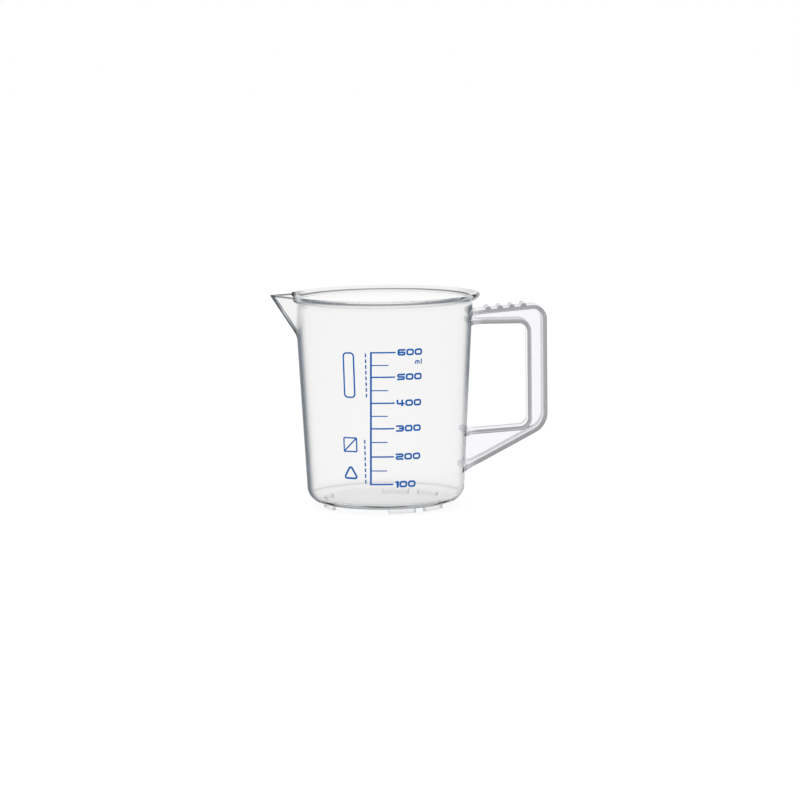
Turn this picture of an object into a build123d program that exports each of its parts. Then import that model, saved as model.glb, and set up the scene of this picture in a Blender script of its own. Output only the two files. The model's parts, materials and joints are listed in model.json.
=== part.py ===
"""Handled, spouted measuring beaker of clear polypropylene, 600 ml, in millimetres.

The origin is on the vessel's axis in the plane that the feet stand on. +Z is up, +X runs
towards the handle, -X towards the spout, and the graduations are printed on the -Y side.
"""

from build123d import *
import os
from math import cos, degrees, radians, sin, sqrt

# Vessel: a slightly conical bucket on a flat raised base
total_height = 124.0
foot_height = 2.7
wall_radius_at_foot_plane = 45.13  # outside radius if the wall ran down to z = 0
wall_taper = 0.0548  # outside radius gained per millimetre of height
wall_thickness = 1.6
floor_thickness = 2.2
outer_corner_radius = 9.0
inner_corner_radius = 8.0
corner_top_z = 13.0  # just above the corner, where the base turns into the straight wall
floor_disc_radius = 36.0  # just inside the start of the corner

# Rim: a flange with a bulging underside and a top that slopes down into the mouth
rim_bottom_z = 119.7
rim_radius = 55.8
rim_edge_radius = 1.5  # round the flange's top outer edge
rim_tip_z = 122.4  # bottom of the flange's upright outermost face
rim_underside_radius = 4.8
rim_land_inner_radius = 53.6
rim_gap_half_angle = 17.5  # each side of the spout, in degrees, where the flange stops short
mouth_radius = 49.75
mouth_edge_z = 122.06

# Spout: the lower half of an oblique elliptical cone whose point is level with the rim
spout_tip_x = -66.0
spout_keel_z = 99.8  # where the keel leaves the outside of the wall
spout_half_angle = 19.5  # half of the arc of rim that the spout takes up, in degrees
spout_inset = 2.2  # how far the channel's point lies behind the spout's point
spout_top_droop = 0.5  # how far the spout's edges fall from the tip to the rim
spout_droop_run = 13.2  # length over which they fall
spout_base_x = -44.0

# Feet: six short arcs in three pairs
foot_outer_radius = 36.7
foot_width = 2.2
foot_arc = 25.5
foot_pair_centres = (60.0, 180.0, 300.0)
foot_pair_spread = 17.75

# Handle: two flat rails, one inside the other, joined by a thin web along the middle
handle_width = 15.8
rail_thickness = 2.5
web_thickness = 1.8
grip_x = 94.3  # outside face of the upright grip
finger_rail_x = 85.2  # outside face of the inner rail's upright
top_slope = 0.081
brace_slope = 0.531
inner_bottom_slope = 0.066
outer_top_z_at_axis = 109.4  # outer rail's top face, run back to the vessel's axis
outer_brace_z_at_axis = -4.45  # outer rail's bottom face, run back to the vessel's axis
inner_top_z = 108.2
inner_bottom_z_at_axis = 38.05
outer_corner_radii = (8.0, 13.0)
inner_rail_radius = 7.3

# Roots: where a rail meets the wall it spreads sideways and thickens
root_reach = 7.2
root_side_spread = 4.1
root_edge_half_height = 1.4
root_shares = (1.33, 1.0, 0.9, 0.75, 0.5, 0.0)  # sections, from just inside the wall to the rail
root_rises = {"outer_top": 2.3, "inner_top": 1.1, "inner_bottom": 2.3, "outer_bottom": 2.6}
root_falls = {"outer_top": 1.1, "inner_top": 2.3, "inner_bottom": 1.9, "outer_bottom": 1.0}

# Thumb grip: half-round ribs across the top of the outer rail
rib_first_x = 60.4
rib_pitch = 6.83
rib_radius = 1.68
rib_count = 4

# Graduations: volume in millilitres and height of each printed line
graduation_heights = {
    600: 94.7, 550: 87.4, 500: 80.6, 450: 72.9, 400: 65.6, 350: 58.1,
    300: 50.9, 250: 43.0, 200: 34.6, 150: 26.5, 100: 18.6,
}
ink_thickness = 0.12
scale_azimuth = -12.33  # the scale line's middle, in degrees from -Y towards +X
scale_lean = 0.026  # degrees of azimuth gained per millimetre of height
scale_line_width = 1.1
major_arc = 15.3
minor_arc = 10.8
major_line_width = 0.85
minor_line_width = 0.6
label_gap_arc = 17.2  # from the scale line to a numeral's left side
digit_width = 4.6
digit_height = 3.8
digit_stroke = 1.05
digit_gap = 0.42
digit_bend = 0.62  # centre line's radius in a digit's tighter corners
digit_wide_bend = 0.9
one_width = 2.0
unit_azimuth = 20.2
unit_z = 88.8
unit_stroke = 0.6
unit_x_height = 2.1
unit_ascender = 0.9  # how far the l stands above the m
unit_leg_pitch = 1.15  # between the m's three legs
unit_left = -2.0  # the m's first leg, from the middle of the unit
unit_right = 1.6

# Plain printed marks to the left of the scale, each at an azimuth and a height
panel_place = (-26.8, 81.6)
panel_width = 7.2
panel_height = 26.4
panel_corner = 2.0
panel_stroke = 0.9
square_place = (-27.7, 41.4)
square_side = 8.7
square_corner = 0.4
square_stroke = 0.8
triangle_place = (-28.0, 25.6)
triangle_side = 9.6
triangle_corner = 1.0
triangle_stroke = 1.1
upper_dashes_place = (-15.0, 81.6)
lower_dashes_place = (-17.0, 31.8)
dash_count = 8
dash_length = 2.2
dash_pitch = 3.3
dash_width = 0.8

# Construction: how far scratch solids reach past what they cut
clearance = 5.0
hidden_x = 30.0  # well inside the vessel, where the handle's outlines are closed


def wall_radius(z):
    """Outside radius of the vessel at height z."""
    return wall_radius_at_foot_plane + wall_taper * z


def frustum(bottom_z, top_z, offset=0.0):
    """Solid cone that follows the outside of the wall, grown by offset."""
    bottom = wall_radius(bottom_z) + offset
    top = wall_radius(top_z) + offset
    align = (Align.CENTER, Align.CENTER, Align.MIN)
    return Pos(0, 0, bottom_z) * Cone(bottom, top, top_z - bottom_z, align=align)


def slab(bottom_z, top_z):
    """Wide block between two heights."""
    side = 4 * rim_radius
    return Pos(0, 0, (bottom_z + top_z) / 2) * Box(side, side, top_z - bottom_z)


def bore():
    """The hollow inside the vessel, with the rounded corner at the floor."""
    floor_z = foot_height + floor_thickness
    hollow = frustum(floor_z, total_height + clearance, -wall_thickness)
    return fillet(hollow.edges().sort_by(Axis.Z)[0], inner_corner_radius)


def bucket():
    """Wall and floor in one piece, up to the underside of the rim."""
    outside = frustum(foot_height, rim_bottom_z)
    outside = fillet(outside.edges().sort_by(Axis.Z)[0], outer_corner_radius)
    return outside - bore()


def spout_cone(inset):
    """Oblique elliptical cone from the spout's point back into the vessel."""
    tip = Vector(spout_tip_x + inset, 0, total_height)
    keel_slope = (total_height - spout_keel_z) / (-wall_radius(spout_keel_z) - spout_tip_x)
    depth = keel_slope * (spout_base_x - spout_tip_x)
    crease_x = -wall_radius(total_height) * cos(radians(spout_half_angle))
    crease_y = wall_radius(total_height) * sin(radians(spout_half_angle))
    half_width = crease_y * (spout_base_x - spout_tip_x) / (crease_x - spout_tip_x)
    base = Plane((spout_base_x + inset, 0, total_height), x_dir=(0, 1, 0), z_dir=(1, 0, 0))
    return loft([base * Ellipse(half_width, depth), Vertex(tip)], ruled=True)


def spout():
    """Thin-walled pouring lip whose top edges fall slightly from the tip to the rim."""
    edge_angle = degrees(spout_top_droop / spout_droop_run)
    side = 4 * rim_radius
    above = Pos(spout_tip_x, 0, total_height) * Rot(0, edge_angle, 0)
    above *= Pos(0, 0, side / 2) * Box(side, side, side)
    return spout_cone(0) - spout_cone(spout_inset) - bore() - above


def rim_gap():
    """Wedge of space over the spout, where there is no flange."""
    reach = 2 * rim_radius
    half_width = reach * sin(radians(rim_gap_half_angle)) / cos(radians(rim_gap_half_angle))
    corners = [(0, 0), (-reach, half_width), (-reach, -half_width)]
    floor = Pos(0, 0, rim_bottom_z - clearance) * make_face(Polyline(*corners, close=True))
    return extrude(floor, total_height)


def pouring_rim():
    """Flange round the mouth, cut away where the spout leaves it."""
    bore_radius = wall_radius(rim_bottom_z) - wall_thickness
    shoulder = (rim_radius, total_height - rim_edge_radius)
    land_end = (rim_radius - rim_edge_radius, total_height)
    tip = (rim_radius, rim_tip_z)
    root = (wall_radius(rim_bottom_z), rim_bottom_z)
    outline = [
        Line((bore_radius, rim_bottom_z), (mouth_radius, mouth_edge_z)),
        Line((mouth_radius, mouth_edge_z), (rim_land_inner_radius, total_height)),
        Line((rim_land_inner_radius, total_height), land_end),
        RadiusArc(land_end, shoulder, rim_edge_radius),
        Line(shoulder, tip),
        RadiusArc(tip, root, rim_underside_radius),
        Line(root, (bore_radius, rim_bottom_z)),
    ]
    ring = revolve(Plane.XZ * make_face(outline), Axis.Z)
    return ring - spout_cone(0) - rim_gap()


def vessel_wall():
    """Straight part of the wall, cut away where the spout leaves it."""
    return (bucket() & slab(corner_top_z, rim_bottom_z)) - spout_cone(0)


def floor_disc():
    """Flat middle of the floor."""
    align = (Align.CENTER, Align.CENTER, Align.MIN)
    return Pos(0, 0, foot_height) * Cylinder(floor_disc_radius, floor_thickness, align=align)


def base_corner():
    """Rounded ring that joins the flat floor to the wall."""
    return (bucket() & slab(0, corner_top_z)) - floor_disc()


def foot(azimuth):
    """Short upright arc under the floor, centred on the azimuth."""
    section = Pos(foot_outer_radius - foot_width / 2, foot_height / 2)
    section *= Rectangle(foot_width, foot_height)
    arc = revolve(Plane.XZ * section, Axis.Z, foot_arc)
    return Rot(0, 0, azimuth - foot_arc / 2) * arc


def outer_outline():
    """Side view of the outer rail's outside, closed inside the vessel."""
    corners = [
        (hidden_x, outer_top_z_at_axis + top_slope * hidden_x),
        (grip_x, outer_top_z_at_axis + top_slope * grip_x),
        (grip_x, outer_brace_z_at_axis + brace_slope * grip_x),
        (hidden_x, outer_brace_z_at_axis + brace_slope * hidden_x),
    ]
    return make_face(FilletPolyline(*corners, radius=[0, *outer_corner_radii, 0], close=True))


def inner_outline():
    """Side view of the inner rail's outside, closed inside the vessel."""
    corners = [
        (hidden_x, inner_top_z),
        (finger_rail_x, inner_top_z),
        (finger_rail_x, inner_bottom_z_at_axis + inner_bottom_slope * finger_rail_x),
        (hidden_x, inner_bottom_z_at_axis + inner_bottom_slope * hidden_x),
    ]
    radii = [0, inner_rail_radius, inner_rail_radius, 0]
    return make_face(FilletPolyline(*corners, radius=radii, close=True))


def across(side_view, width):
    """Extrude a side view to the given width, half each side of the handle's middle."""
    return extrude(Plane.XZ * side_view, width / 2, both=True)


def root_lines():
    """For each root: centre height, slope and half height of its rail, and how much it thickens."""
    half = rail_thickness / 2
    brace_half = half * sqrt(1 + brace_slope**2)
    lines = {
        "outer_top": (outer_top_z_at_axis - half, top_slope, half),
        "inner_top": (inner_top_z - half, 0.0, half),
        "inner_bottom": (inner_bottom_z_at_axis + half, inner_bottom_slope, half),
        "outer_bottom": (outer_brace_z_at_axis + brace_half, brace_slope, brace_half),
    }
    return {
        f"handle_root_{name}": (*line, root_rises[name], root_falls[name])
        for name, line in lines.items()
    }


def root_wall_x(line):
    """Where the middle of a root meets the outside of the wall."""
    z_at_axis, slope = line[0], line[1]
    z = z_at_axis + slope * wall_radius(z_at_axis)
    return wall_radius(z)


def root_section(line, share):
    """Six-sided section of a root. share is 0 at its rail and 1 at the wall."""
    z_at_axis, slope, half, rise, fall = line
    x = root_wall_x(line) + root_reach * (1 - share)
    half_width = handle_width / 2 + root_side_spread * share**2.5
    spread = min(share, 1.0) ** 6
    top = half + rise * spread
    bottom = half + fall * spread
    edge = half + (root_edge_half_height - half) * min(share, 1.0)
    corners = [
        (-half_width, -edge), (0, -bottom), (half_width, -edge),
        (half_width, edge), (0, top), (-half_width, edge),
    ]
    plane = Plane((x, 0, z_at_axis + slope * x), x_dir=(0, 1, 0), z_dir=(1, 0, 0))
    return plane * make_face(Polyline(*corners, close=True))


def handle_root(line):
    """Flare from the end of a rail to the outside of the wall."""
    flare = loft([root_section(line, share) for share in root_shares], ruled=True)
    return flare - frustum(0, total_height)


def behind_roots():
    """Blocks that take the rails away where the roots stand."""
    blocks = []
    for z_at_axis, slope, half, _, _ in root_lines().values():
        end_x = root_wall_x((z_at_axis, slope)) + root_reach
        depth = end_x - hidden_x + clearance
        top = z_at_axis + slope * end_x + 2 * half
        bottom = z_at_axis + slope * (end_x - depth) - 2 * half
        block = Box(depth, 2 * handle_width, top - bottom)
        blocks.append(Pos(end_x - depth / 2, 0, (top + bottom) / 2) * block)
    return blocks


def handle_outer_rail():
    """Top bar, upright grip and sloping brace, as one bent strip."""
    strip = outer_outline() - offset(outer_outline(), -rail_thickness)
    return across(strip, handle_width) - frustum(0, total_height) - behind_roots()


def handle_inner_rail():
    """Strip that lines the finger opening on three sides."""
    strip = inner_outline() - offset(inner_outline(), -rail_thickness)
    return across(strip, handle_width) - frustum(0, total_height) - behind_roots()


def handle_web():
    """Thin plate that fills the space between the two rails and the wall."""
    between = offset(outer_outline(), -rail_thickness) - inner_outline()
    roots = [handle_root(line) for line in root_lines().values()]
    return across(between, web_thickness) - frustum(0, total_height) - roots


def thumb_rib(number):
    """Half-round bar across the outer rail's top face."""
    x = rib_first_x + rib_pitch * (number - 1)
    bar = Pos(x, outer_top_z_at_axis + top_slope * x) * Circle(rib_radius)
    return across(bar - outer_outline(), handle_width)


def ink_skin():
    """Thin layer over the outside of the wall, as thick as the print."""
    low = graduation_heights[100] - 2 * clearance
    high = graduation_heights[600] + 2 * clearance
    return frustum(low, high, ink_thickness) - frustum(low, high)


def line_azimuth(z):
    """Azimuth of the scale line at height z, in degrees from -Y towards +X."""
    middle = (graduation_heights[600] + graduation_heights[100]) / 2
    return scale_azimuth + scale_lean * (z - middle)


def printed(mark, azimuth, z):
    """Wrap a flat mark onto the outside of the wall at an azimuth and a height."""
    a = radians(azimuth)
    outward = (sin(a), -cos(a), 0)
    centre = (wall_radius(z) * outward[0], wall_radius(z) * outward[1], z)
    plane = Plane(centre, x_dir=(cos(a), sin(a), 0), z_dir=outward)
    return extrude(plane * mark, clearance, both=True) & ink_skin()


def stroke(points, radius=0.0, width=digit_stroke, close=False):
    """Line of a given width along points, with rounded corners."""
    if radius:
        path = FilletPolyline(*points, radius=radius, close=close)
    else:
        path = Polyline(*points, close=close)
    return trace(path, line_width=width)


def digit(name):
    """Wide, square-shouldered digit, centred on the origin."""
    e = digit_stroke / 2
    a = digit_width / 2 - e
    b = digit_height / 2 - e
    if name == "0":
        return stroke([(-a, -b), (a, -b), (a, b), (-a, b)], digit_wide_bend, close=True)
    if name == "1":
        stem_x = (one_width - digit_stroke) / 2
        stem = stroke([(stem_x, -b - e), (stem_x, b + e)], width=1.25 * digit_stroke)
        return stem + stroke([(stem_x, b), (stem_x - one_width / 2 - 0.3, b - 0.25)])
    if name == "2":
        return stroke([(-a - e, b), (a, b), (a, 0), (-a, 0), (-a, -b), (a + e, -b)], digit_bend)
    if name == "3":
        bow = stroke([(-a - e, b), (a, b), (a, -b), (-a - e, -b)], digit_wide_bend)
        return bow + stroke([(-a / 3, 0), (a, 0)])
    if name == "4":
        cross_z = -0.3 * b
        arm = stroke([(-a, b + e), (-a, cross_z), (a + e, cross_z)], digit_bend)
        return arm + stroke([(0.5 * a, b + e), (0.5 * a, -b - e)])
    if name == "5":
        return stroke([(a + e, b), (-a, b), (-a, 0), (a, 0), (a, -b), (-a - e, -b)], digit_bend)
    if name == "6":
        loop = stroke([(-a, -b), (a, -b), (a, 0), (-a, 0)], digit_bend, close=True)
        return loop + stroke([(a + e, b), (-a, b), (-a, -b / 2)], digit_bend)
    raise ValueError(name)


def numeral(volume):
    """Three digits to the right of a graduation, level with it."""
    z = graduation_heights[volume]
    widths = [one_width if c == "1" else digit_width for c in str(volume)]
    total = sum(widths) + digit_gap * (len(widths) - 1)
    radius = wall_radius(z)
    azimuth = line_azimuth(z) + label_gap_arc + degrees(total / 2 / radius)
    marks = Sketch()
    left = -total / 2
    for name, width in zip(str(volume), widths):
        marks += Pos(left + width / 2, 0) * digit(name)
        left += width + digit_gap
    return printed(marks, azimuth, z)


def unit_label():
    """The unit, ml, under the right end of the top numeral."""
    low, high = -unit_x_height / 2, unit_x_height / 2
    middle_x = unit_left + unit_leg_pitch
    right_x = middle_x + unit_leg_pitch
    arch_z = high - unit_stroke / 2
    arch = [(unit_left, low), (unit_left, arch_z), (right_x, arch_z), (right_x, low)]
    letter_m = stroke(arch, unit_leg_pitch / 2, unit_stroke)
    letter_m += stroke([(middle_x, low), (middle_x, high)], 0, unit_stroke)
    letter_l = stroke([(unit_right, low), (unit_right, high + unit_ascender)], 0, unit_stroke)
    return printed(letter_m + letter_l, unit_azimuth, unit_z)


def scale_line():
    """Upright line that all the graduations start from."""
    low = graduation_heights[100] - major_line_width / 2
    high = graduation_heights[600] + major_line_width / 2
    z = (low + high) / 2
    lean = degrees(radians(scale_lean) * wall_radius(z))
    return printed(Rot(0, 0, -lean) * Rectangle(scale_line_width, high - low), scale_azimuth, z)


def graduation(z, arc, width):
    """Level line of a given arc that starts at the scale line."""
    start = line_azimuth(z) + degrees(scale_line_width / 2 / wall_radius(z))
    low, high = z - width / 2, z + width / 2
    section = Polyline(
        (wall_radius(low), low), (wall_radius(low) + ink_thickness, low),
        (wall_radius(high) + ink_thickness, high), (wall_radius(high), high), close=True,
    )
    band = revolve(Plane.XZ * make_face(section), Axis.Z, arc)
    return Rot(0, 0, start - 90) * band


def graduations(remainder, arc, width):
    """All the lines whose volume leaves the given remainder over 100 ml."""
    heights = [z for volume, z in graduation_heights.items() if volume % 100 == remainder]
    return Compound([graduation(z, arc, width).solid() for z in heights])


def marking_panel():
    """Plain outlined field with rounded corners, for a note in pencil."""
    w, h = panel_width - panel_stroke, panel_height - panel_stroke
    corners = [(-w / 2, -h / 2), (w / 2, -h / 2), (w / 2, h / 2), (-w / 2, h / 2)]
    return printed(stroke(corners, panel_corner, panel_stroke, close=True), *panel_place)


def square_mark():
    """Plain square crossed by one diagonal."""
    half = (square_side - square_stroke) / 2
    corners = [(-half, -half), (half, -half), (half, half), (-half, half)]
    outline = stroke(corners, square_corner, square_stroke, close=True)
    outline += stroke([(-half, -half), (half, half)], 0, square_stroke)
    return printed(outline, *square_place)


def triangle_mark():
    """Plain triangle with rounded corners."""
    half = (triangle_side - triangle_stroke) / 2
    height = half * sqrt(3)
    corners = [(-half, -height / 2), (half, -height / 2), (0, height / 2)]
    return printed(stroke(corners, triangle_corner, triangle_stroke, close=True), *triangle_place)


def dashes(azimuth, z):
    """Upright row of short plain dashes beside the scale line."""
    row = Sketch()
    for i in range(dash_count):
        row += Pos(0, (i - (dash_count - 1) / 2) * dash_pitch) * Rectangle(dash_width, dash_length)
    return printed(row, azimuth, z)


def subparts():
    """Every node of the beaker by name."""
    parts = {
        "vessel_wall": vessel_wall(),
        "base_corner": base_corner(),
        "floor_disc": floor_disc(),
        "pouring_rim": pouring_rim(),
        "spout": spout(),
        "handle_outer_rail": handle_outer_rail(),
        "handle_inner_rail": handle_inner_rail(),
        "handle_web": handle_web(),
    }
    foot_azimuths = [c + s * foot_pair_spread for c in foot_pair_centres for s in (-1, 1)]
    for number, azimuth in enumerate(foot_azimuths, start=1):
        parts[f"foot_{number}"] = foot(azimuth)
    for name, line in root_lines().items():
        parts[name] = handle_root(line)
    for number in range(1, rib_count + 1):
        parts[f"thumb_rib_{number}"] = thumb_rib(number)
    parts["scale_line"] = scale_line()
    parts["major_graduations"] = graduations(0, major_arc, major_line_width)
    parts["minor_graduations"] = graduations(50, minor_arc, minor_line_width)
    for volume in sorted(v for v in graduation_heights if v % 100 == 0):
        parts[f"numeral_{volume}"] = numeral(volume)
    parts["unit_label"] = unit_label()
    parts["marking_panel"] = marking_panel()
    parts["square_mark"] = square_mark()
    parts["triangle_mark"] = triangle_mark()
    parts["upper_dashes"] = dashes(*upper_dashes_place)
    parts["lower_dashes"] = dashes(*lower_dashes_place)
    return parts


os.makedirs("parts", exist_ok=True)
for name, shape in subparts().items():
    export_step(shape, f"parts/{name}.step")
    print(f"{name:26s} {len(shape.solids())} solids {shape.volume:10.2f} mm3")
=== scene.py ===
"""Looks of a clear polypropylene measuring beaker with a handle, built round its CAD frame."""

import json
from math import atan, cos, radians, sin

import bmesh
import bpy
import numpy as np
from mathutils import Matrix, Vector


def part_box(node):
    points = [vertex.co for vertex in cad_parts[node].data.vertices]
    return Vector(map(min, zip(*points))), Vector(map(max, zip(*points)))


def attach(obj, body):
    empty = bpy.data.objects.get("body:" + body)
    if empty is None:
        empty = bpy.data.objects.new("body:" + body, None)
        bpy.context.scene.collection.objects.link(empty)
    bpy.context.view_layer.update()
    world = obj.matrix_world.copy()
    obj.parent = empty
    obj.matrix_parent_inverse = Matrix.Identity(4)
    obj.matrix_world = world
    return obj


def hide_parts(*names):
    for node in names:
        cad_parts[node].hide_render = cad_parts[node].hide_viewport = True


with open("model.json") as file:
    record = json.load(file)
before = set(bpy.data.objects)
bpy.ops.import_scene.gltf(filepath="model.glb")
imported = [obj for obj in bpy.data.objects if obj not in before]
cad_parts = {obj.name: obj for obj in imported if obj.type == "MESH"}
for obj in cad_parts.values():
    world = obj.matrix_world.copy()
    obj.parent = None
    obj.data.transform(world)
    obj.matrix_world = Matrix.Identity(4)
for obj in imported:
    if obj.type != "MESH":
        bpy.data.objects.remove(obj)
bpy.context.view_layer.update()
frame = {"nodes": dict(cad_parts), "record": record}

MM = 0.001


def node_box(node):
    """Lowest and highest corners of a CAD node, in millimetres."""
    low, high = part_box(node)
    return np.array(low) / MM, np.array(high) / MM


# Sizes in millimetres. Those that a CAD node's box gives are read from the frame.
rim_low, rim_high = node_box("pouring_rim")
disc_low, disc_high = node_box("floor_disc")
spout_low, _ = node_box("spout")
outer_rail_low, outer_rail_high = node_box("handle_outer_rail")
_, inner_rail_high = node_box("handle_inner_rail")

TOTAL_HEIGHT = rim_high[2]
RIM_BOTTOM_Z = rim_low[2]
RIM_RADIUS = rim_high[1]
BASE_Z = disc_low[2]
FLOOR_Z = disc_high[2]
SPOUT_TIP_X = spout_low[0]
HANDLE_WIDTH = outer_rail_high[1] - outer_rail_low[1]
GRIP_X = outer_rail_high[0]
FINGER_RAIL_X = inner_rail_high[0]
INNER_TOP_Z = inner_rail_high[2]

WALL_RADIUS_AT_FOOT_PLANE = 45.13
WALL_TAPER = 0.0548
WALL_THICKNESS = 1.6
OUTER_CORNER_RADIUS = 9.0
INNER_CORNER_RADIUS = 8.0
RIM_TIP_Z = 122.4
RIM_UNDERSIDE_RADIUS = 4.8
RIM_LAND_INNER_RADIUS = 53.6
RIM_EDGE_RADIUS = 1.5
RIM_GAP_HALF_ANGLE = radians(17.5)
# Steps out and up along the fillet where the rim leaves the wall.
RIM_ROOT_EASING = [(-0.07, -1.3), (0.1, -0.65), (0.45, -0.1), (1.05, 0.35)]
MOUTH_RADIUS = 49.75
MOUTH_EDGE_Z = 122.06
LIP_RADIUS = 0.3  # rounding of the mouth's edge
WALL_BOTTOM_Z = 16.0  # where the rings of the straight wall begin
WALL_TOP_Z = 118.0  # and where the outside ones end, just below the rim

SPOUT_KEEL_Z = 99.8
SPOUT_CONE_LENGTH = 22.0  # length at which the cone's widths are given
SPOUT_HALF_ANGLE = radians(19.5)
SPOUT_INSET = 2.2
SPOUT_DROOP = 0.5 / 13.2
SPOUT_BLEND = 1.3  # size of the fillet where the spout leaves the wall
SPOUT_LOW_Z = 92.0  # below the keel's start, where the finer rings begin
SPOUT_TOP_BLEND = 0.5  # size of the fillet where the flange meets the spout
SPOUT_EDGE_RADIUS = 0.35
LIP_LINE = 0.8  # height of the painted dark line under the mouth's edge
KEEL_BAND = 1.5  # how far the painted shade band reaches in from the spout's keel
TIP_BAND = 0.6  # how much farther it reaches near the tip
TIP_BAND_Z = 113.0  # height above which it starts to
EDGE_BAND = 1.1  # height of the painted shade band along the spout's top edges
CREASE_BAND = 1.6  # half the width of the painted shade band in the crease where the spout leaves the wall
FLOOR_TINT = 0.04  # how far the floor and the inner corner are darkened
WALL_SHADE_EASING_LEVELS = (15, 60, 95)  # heights on the handle's side
WALL_SHADE_EASINGS = (0.76, 0.58, 0.42)  # how much weaker the painted edge shade is at those heights, which paints that side lighter
RIM_SHADE = 0.07  # strength of the painted shade on the rim
RIM_END_SHADE = 0.42  # how much stronger it is at its ends: painted shade where the thick section shows, partly that real thickness
RIM_END_HOLD = radians(6)  # length of the strongly shaded stretch at each end of the rim
RIM_END_FADE = radians(10)  # length over which that painted shade fades
RIM_END_FACE = 0.6  # strength of the painted shade on the rim's two end faces, which show its thick section; partly that real thickness
RIM_END_RISE = radians(2.5)  # length over which the rim's painted edge shade sets in

CORNER_LINE_MARK = 0.32  # strength of the painted dark line round the outer corner
CORNER_LINE_PLACE = 0.63  # its place on the corner, as a share of the corner's turn
CORNER_LINE_REACH = 0.075
CORNER_BAND_SHADE = 0.11  # strength of the soft painted shade band that the line lies in
CORNER_BAND_REACH = 0.3

FOOT_OUTER_RADIUS = 36.7
FOOT_WIDTH = 2.2
FOOT_ARC = radians(25.5)
FOOT_CENTRES = [radians(c + s) for c in (60, 180, 300) for s in (-17.75, 17.75)]
FOOT_EDGE_STEPS = [0, 0.06, 0.12, 0.25, 0.45]  # distances in from a foot's edge
FOOT_EDGE_DROPS = [0, 0.86, 0.93, 0.985, 1]  # share of the foot's height reached there
FOOT_END_MARK = 0.55  # strength of the painted shade at a foot's ends
FOOT_SIDE_MARK = 0.13  # strength of the painted shade along its rounded edge

RAIL_THICKNESS = 2.5
WEB_HALF = 0.9
TOP_SLOPE = 0.081
BRACE_SLOPE = 0.531
INNER_BOTTOM_SLOPE = 0.066
OUTER_TOP_Z_AT_AXIS = 109.4
OUTER_BRACE_Z_AT_AXIS = -4.45
INNER_BOTTOM_Z_AT_AXIS = 38.05
OUTER_CORNER_RADII = (8.0, 13.0)
INNER_RAIL_RADIUS = 7.3
RAIL_EDGE_RADIUS = 0.55
WEB_FILLET = 0.8
ROOT_REACH = 7.2
ROOT_SIDE_SPREAD = 7.79  # how far each side of a root reaches past the rail, at the wall
ROOT_SPREAD_POWER = 2.5
LEAN_REACH = 16.0  # distance from the wall over which the rails' sections turn to lie along it
OUTER_ROOT_GAINS = (2.3, 1.0)  # how much the outer rail's roots swell outwards, top and bottom
OUTER_ROOT_INSIDE_GAINS = (0.5, 2.4)
INNER_ROOT_OUTSIDE_GAINS = (0.5, 1.9)
INNER_ROOT_GAIN = 2.3
ROOT_GAP = 0.04  # keeps the handle's ends just clear of the wall
ROOT_SHADE_EASING = 0.6  # how much lighter the painted shade on a rail's sides is at its root
RIB_FIRST_X = 60.4
RIB_PITCH = 6.83
RIB_RADIUS = 1.68
RIB_COUNT = 4


# ---------------------------------------------------------------- vessel


def wall_radius(z):
    """Outside radius of the straight wall at height z."""
    return WALL_RADIUS_AT_FOOT_PLANE + WALL_TAPER * z


def smooth_max(a, b, size):
    """Larger of two values, rounded off where they are nearly equal."""
    h = np.clip(1 - np.abs(a - b) / size, 0, 1)
    return np.maximum(a, b) + h * h * size / 4


def smooth_step(x):
    """Ramp from 0 to 1 with soft ends."""
    x = np.clip(x, 0, 1)
    return x * x * (3 - 2 * x)


def spout_radius(phi, z, inset):
    """Distance from the axis to the spout's cone, at an angle phi from -X and a height z."""
    tip = -SPOUT_TIP_X - inset
    length = SPOUT_CONE_LENGTH
    keel_run = -SPOUT_TIP_X - wall_radius(SPOUT_KEEL_Z)
    depth = length * (TOTAL_HEIGHT - SPOUT_KEEL_Z) / keel_run
    crease_x = wall_radius(TOTAL_HEIGHT) * cos(SPOUT_HALF_ANGLE)
    crease_y = wall_radius(TOTAL_HEIGHT) * sin(SPOUT_HALF_ANGLE)
    half_width = crease_y * length / (-SPOUT_TIP_X - crease_x)
    drop = np.abs(TOTAL_HEIGHT - z) / depth
    c, s = np.cos(phi), np.abs(np.sin(phi))
    a = (c / length) ** 2 - (s / half_width) ** 2
    b = tip * c / length**2
    under_root = np.maximum(b * b - a * ((tip / length) ** 2 - drop**2), 0)
    a = np.where(np.abs(a) < 1e-9, 1e-9, a)
    radius = (b - np.sqrt(under_root)) / a
    return np.where((c > 0.75) & (tip / length > drop), radius, 0.0)


def vessel_columns():
    """Azimuths of the vessel's mesh: close together at the spout and at the feet's ends."""
    spout = np.radians(180 + np.arange(-26, 26.01, 0.3))
    junction = np.radians(180 + np.array([s * a for s in (-1, 1) for a in np.arange(16.6, 18.5, 0.1)]))
    rest = np.radians(np.arange(207, 514, 0.8))
    mid_radius = FOOT_OUTER_RADIUS - FOOT_WIDTH / 2
    inset = np.array(FOOT_EDGE_STEPS) / mid_radius
    ends = [c + s * (FOOT_ARC / 2 - i) for c in FOOT_CENTRES for s in (-1, 1) for i in inset]
    columns = np.mod(np.concatenate([spout, junction, rest, ends]), 2 * np.pi)
    columns = np.sort(columns)
    keep = np.append(np.diff(columns) > 2e-4, True)
    return columns[keep]


def foot_distances(radius, azimuth):
    """Distances inwards from the nearest foot's sides and from its ends, negative outside it."""
    across = np.minimum(FOOT_OUTER_RADIUS - radius, radius - FOOT_OUTER_RADIUS + FOOT_WIDTH)
    turn = np.abs(np.mod(azimuth - np.array(FOOT_CENTRES)[:, None] + np.pi, 2 * np.pi) - np.pi)
    along = ((FOOT_ARC / 2 - turn) * FOOT_OUTER_RADIUS).max(axis=0)
    return across, along


def foot_drop(radius, azimuth):
    """How far the underside reaches below the base: the full foot height inside a foot."""
    edge = np.minimum(*foot_distances(radius, azimuth))
    return np.interp(edge, FOOT_EDGE_STEPS, FOOT_EDGE_DROPS) * BASE_Z


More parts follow.
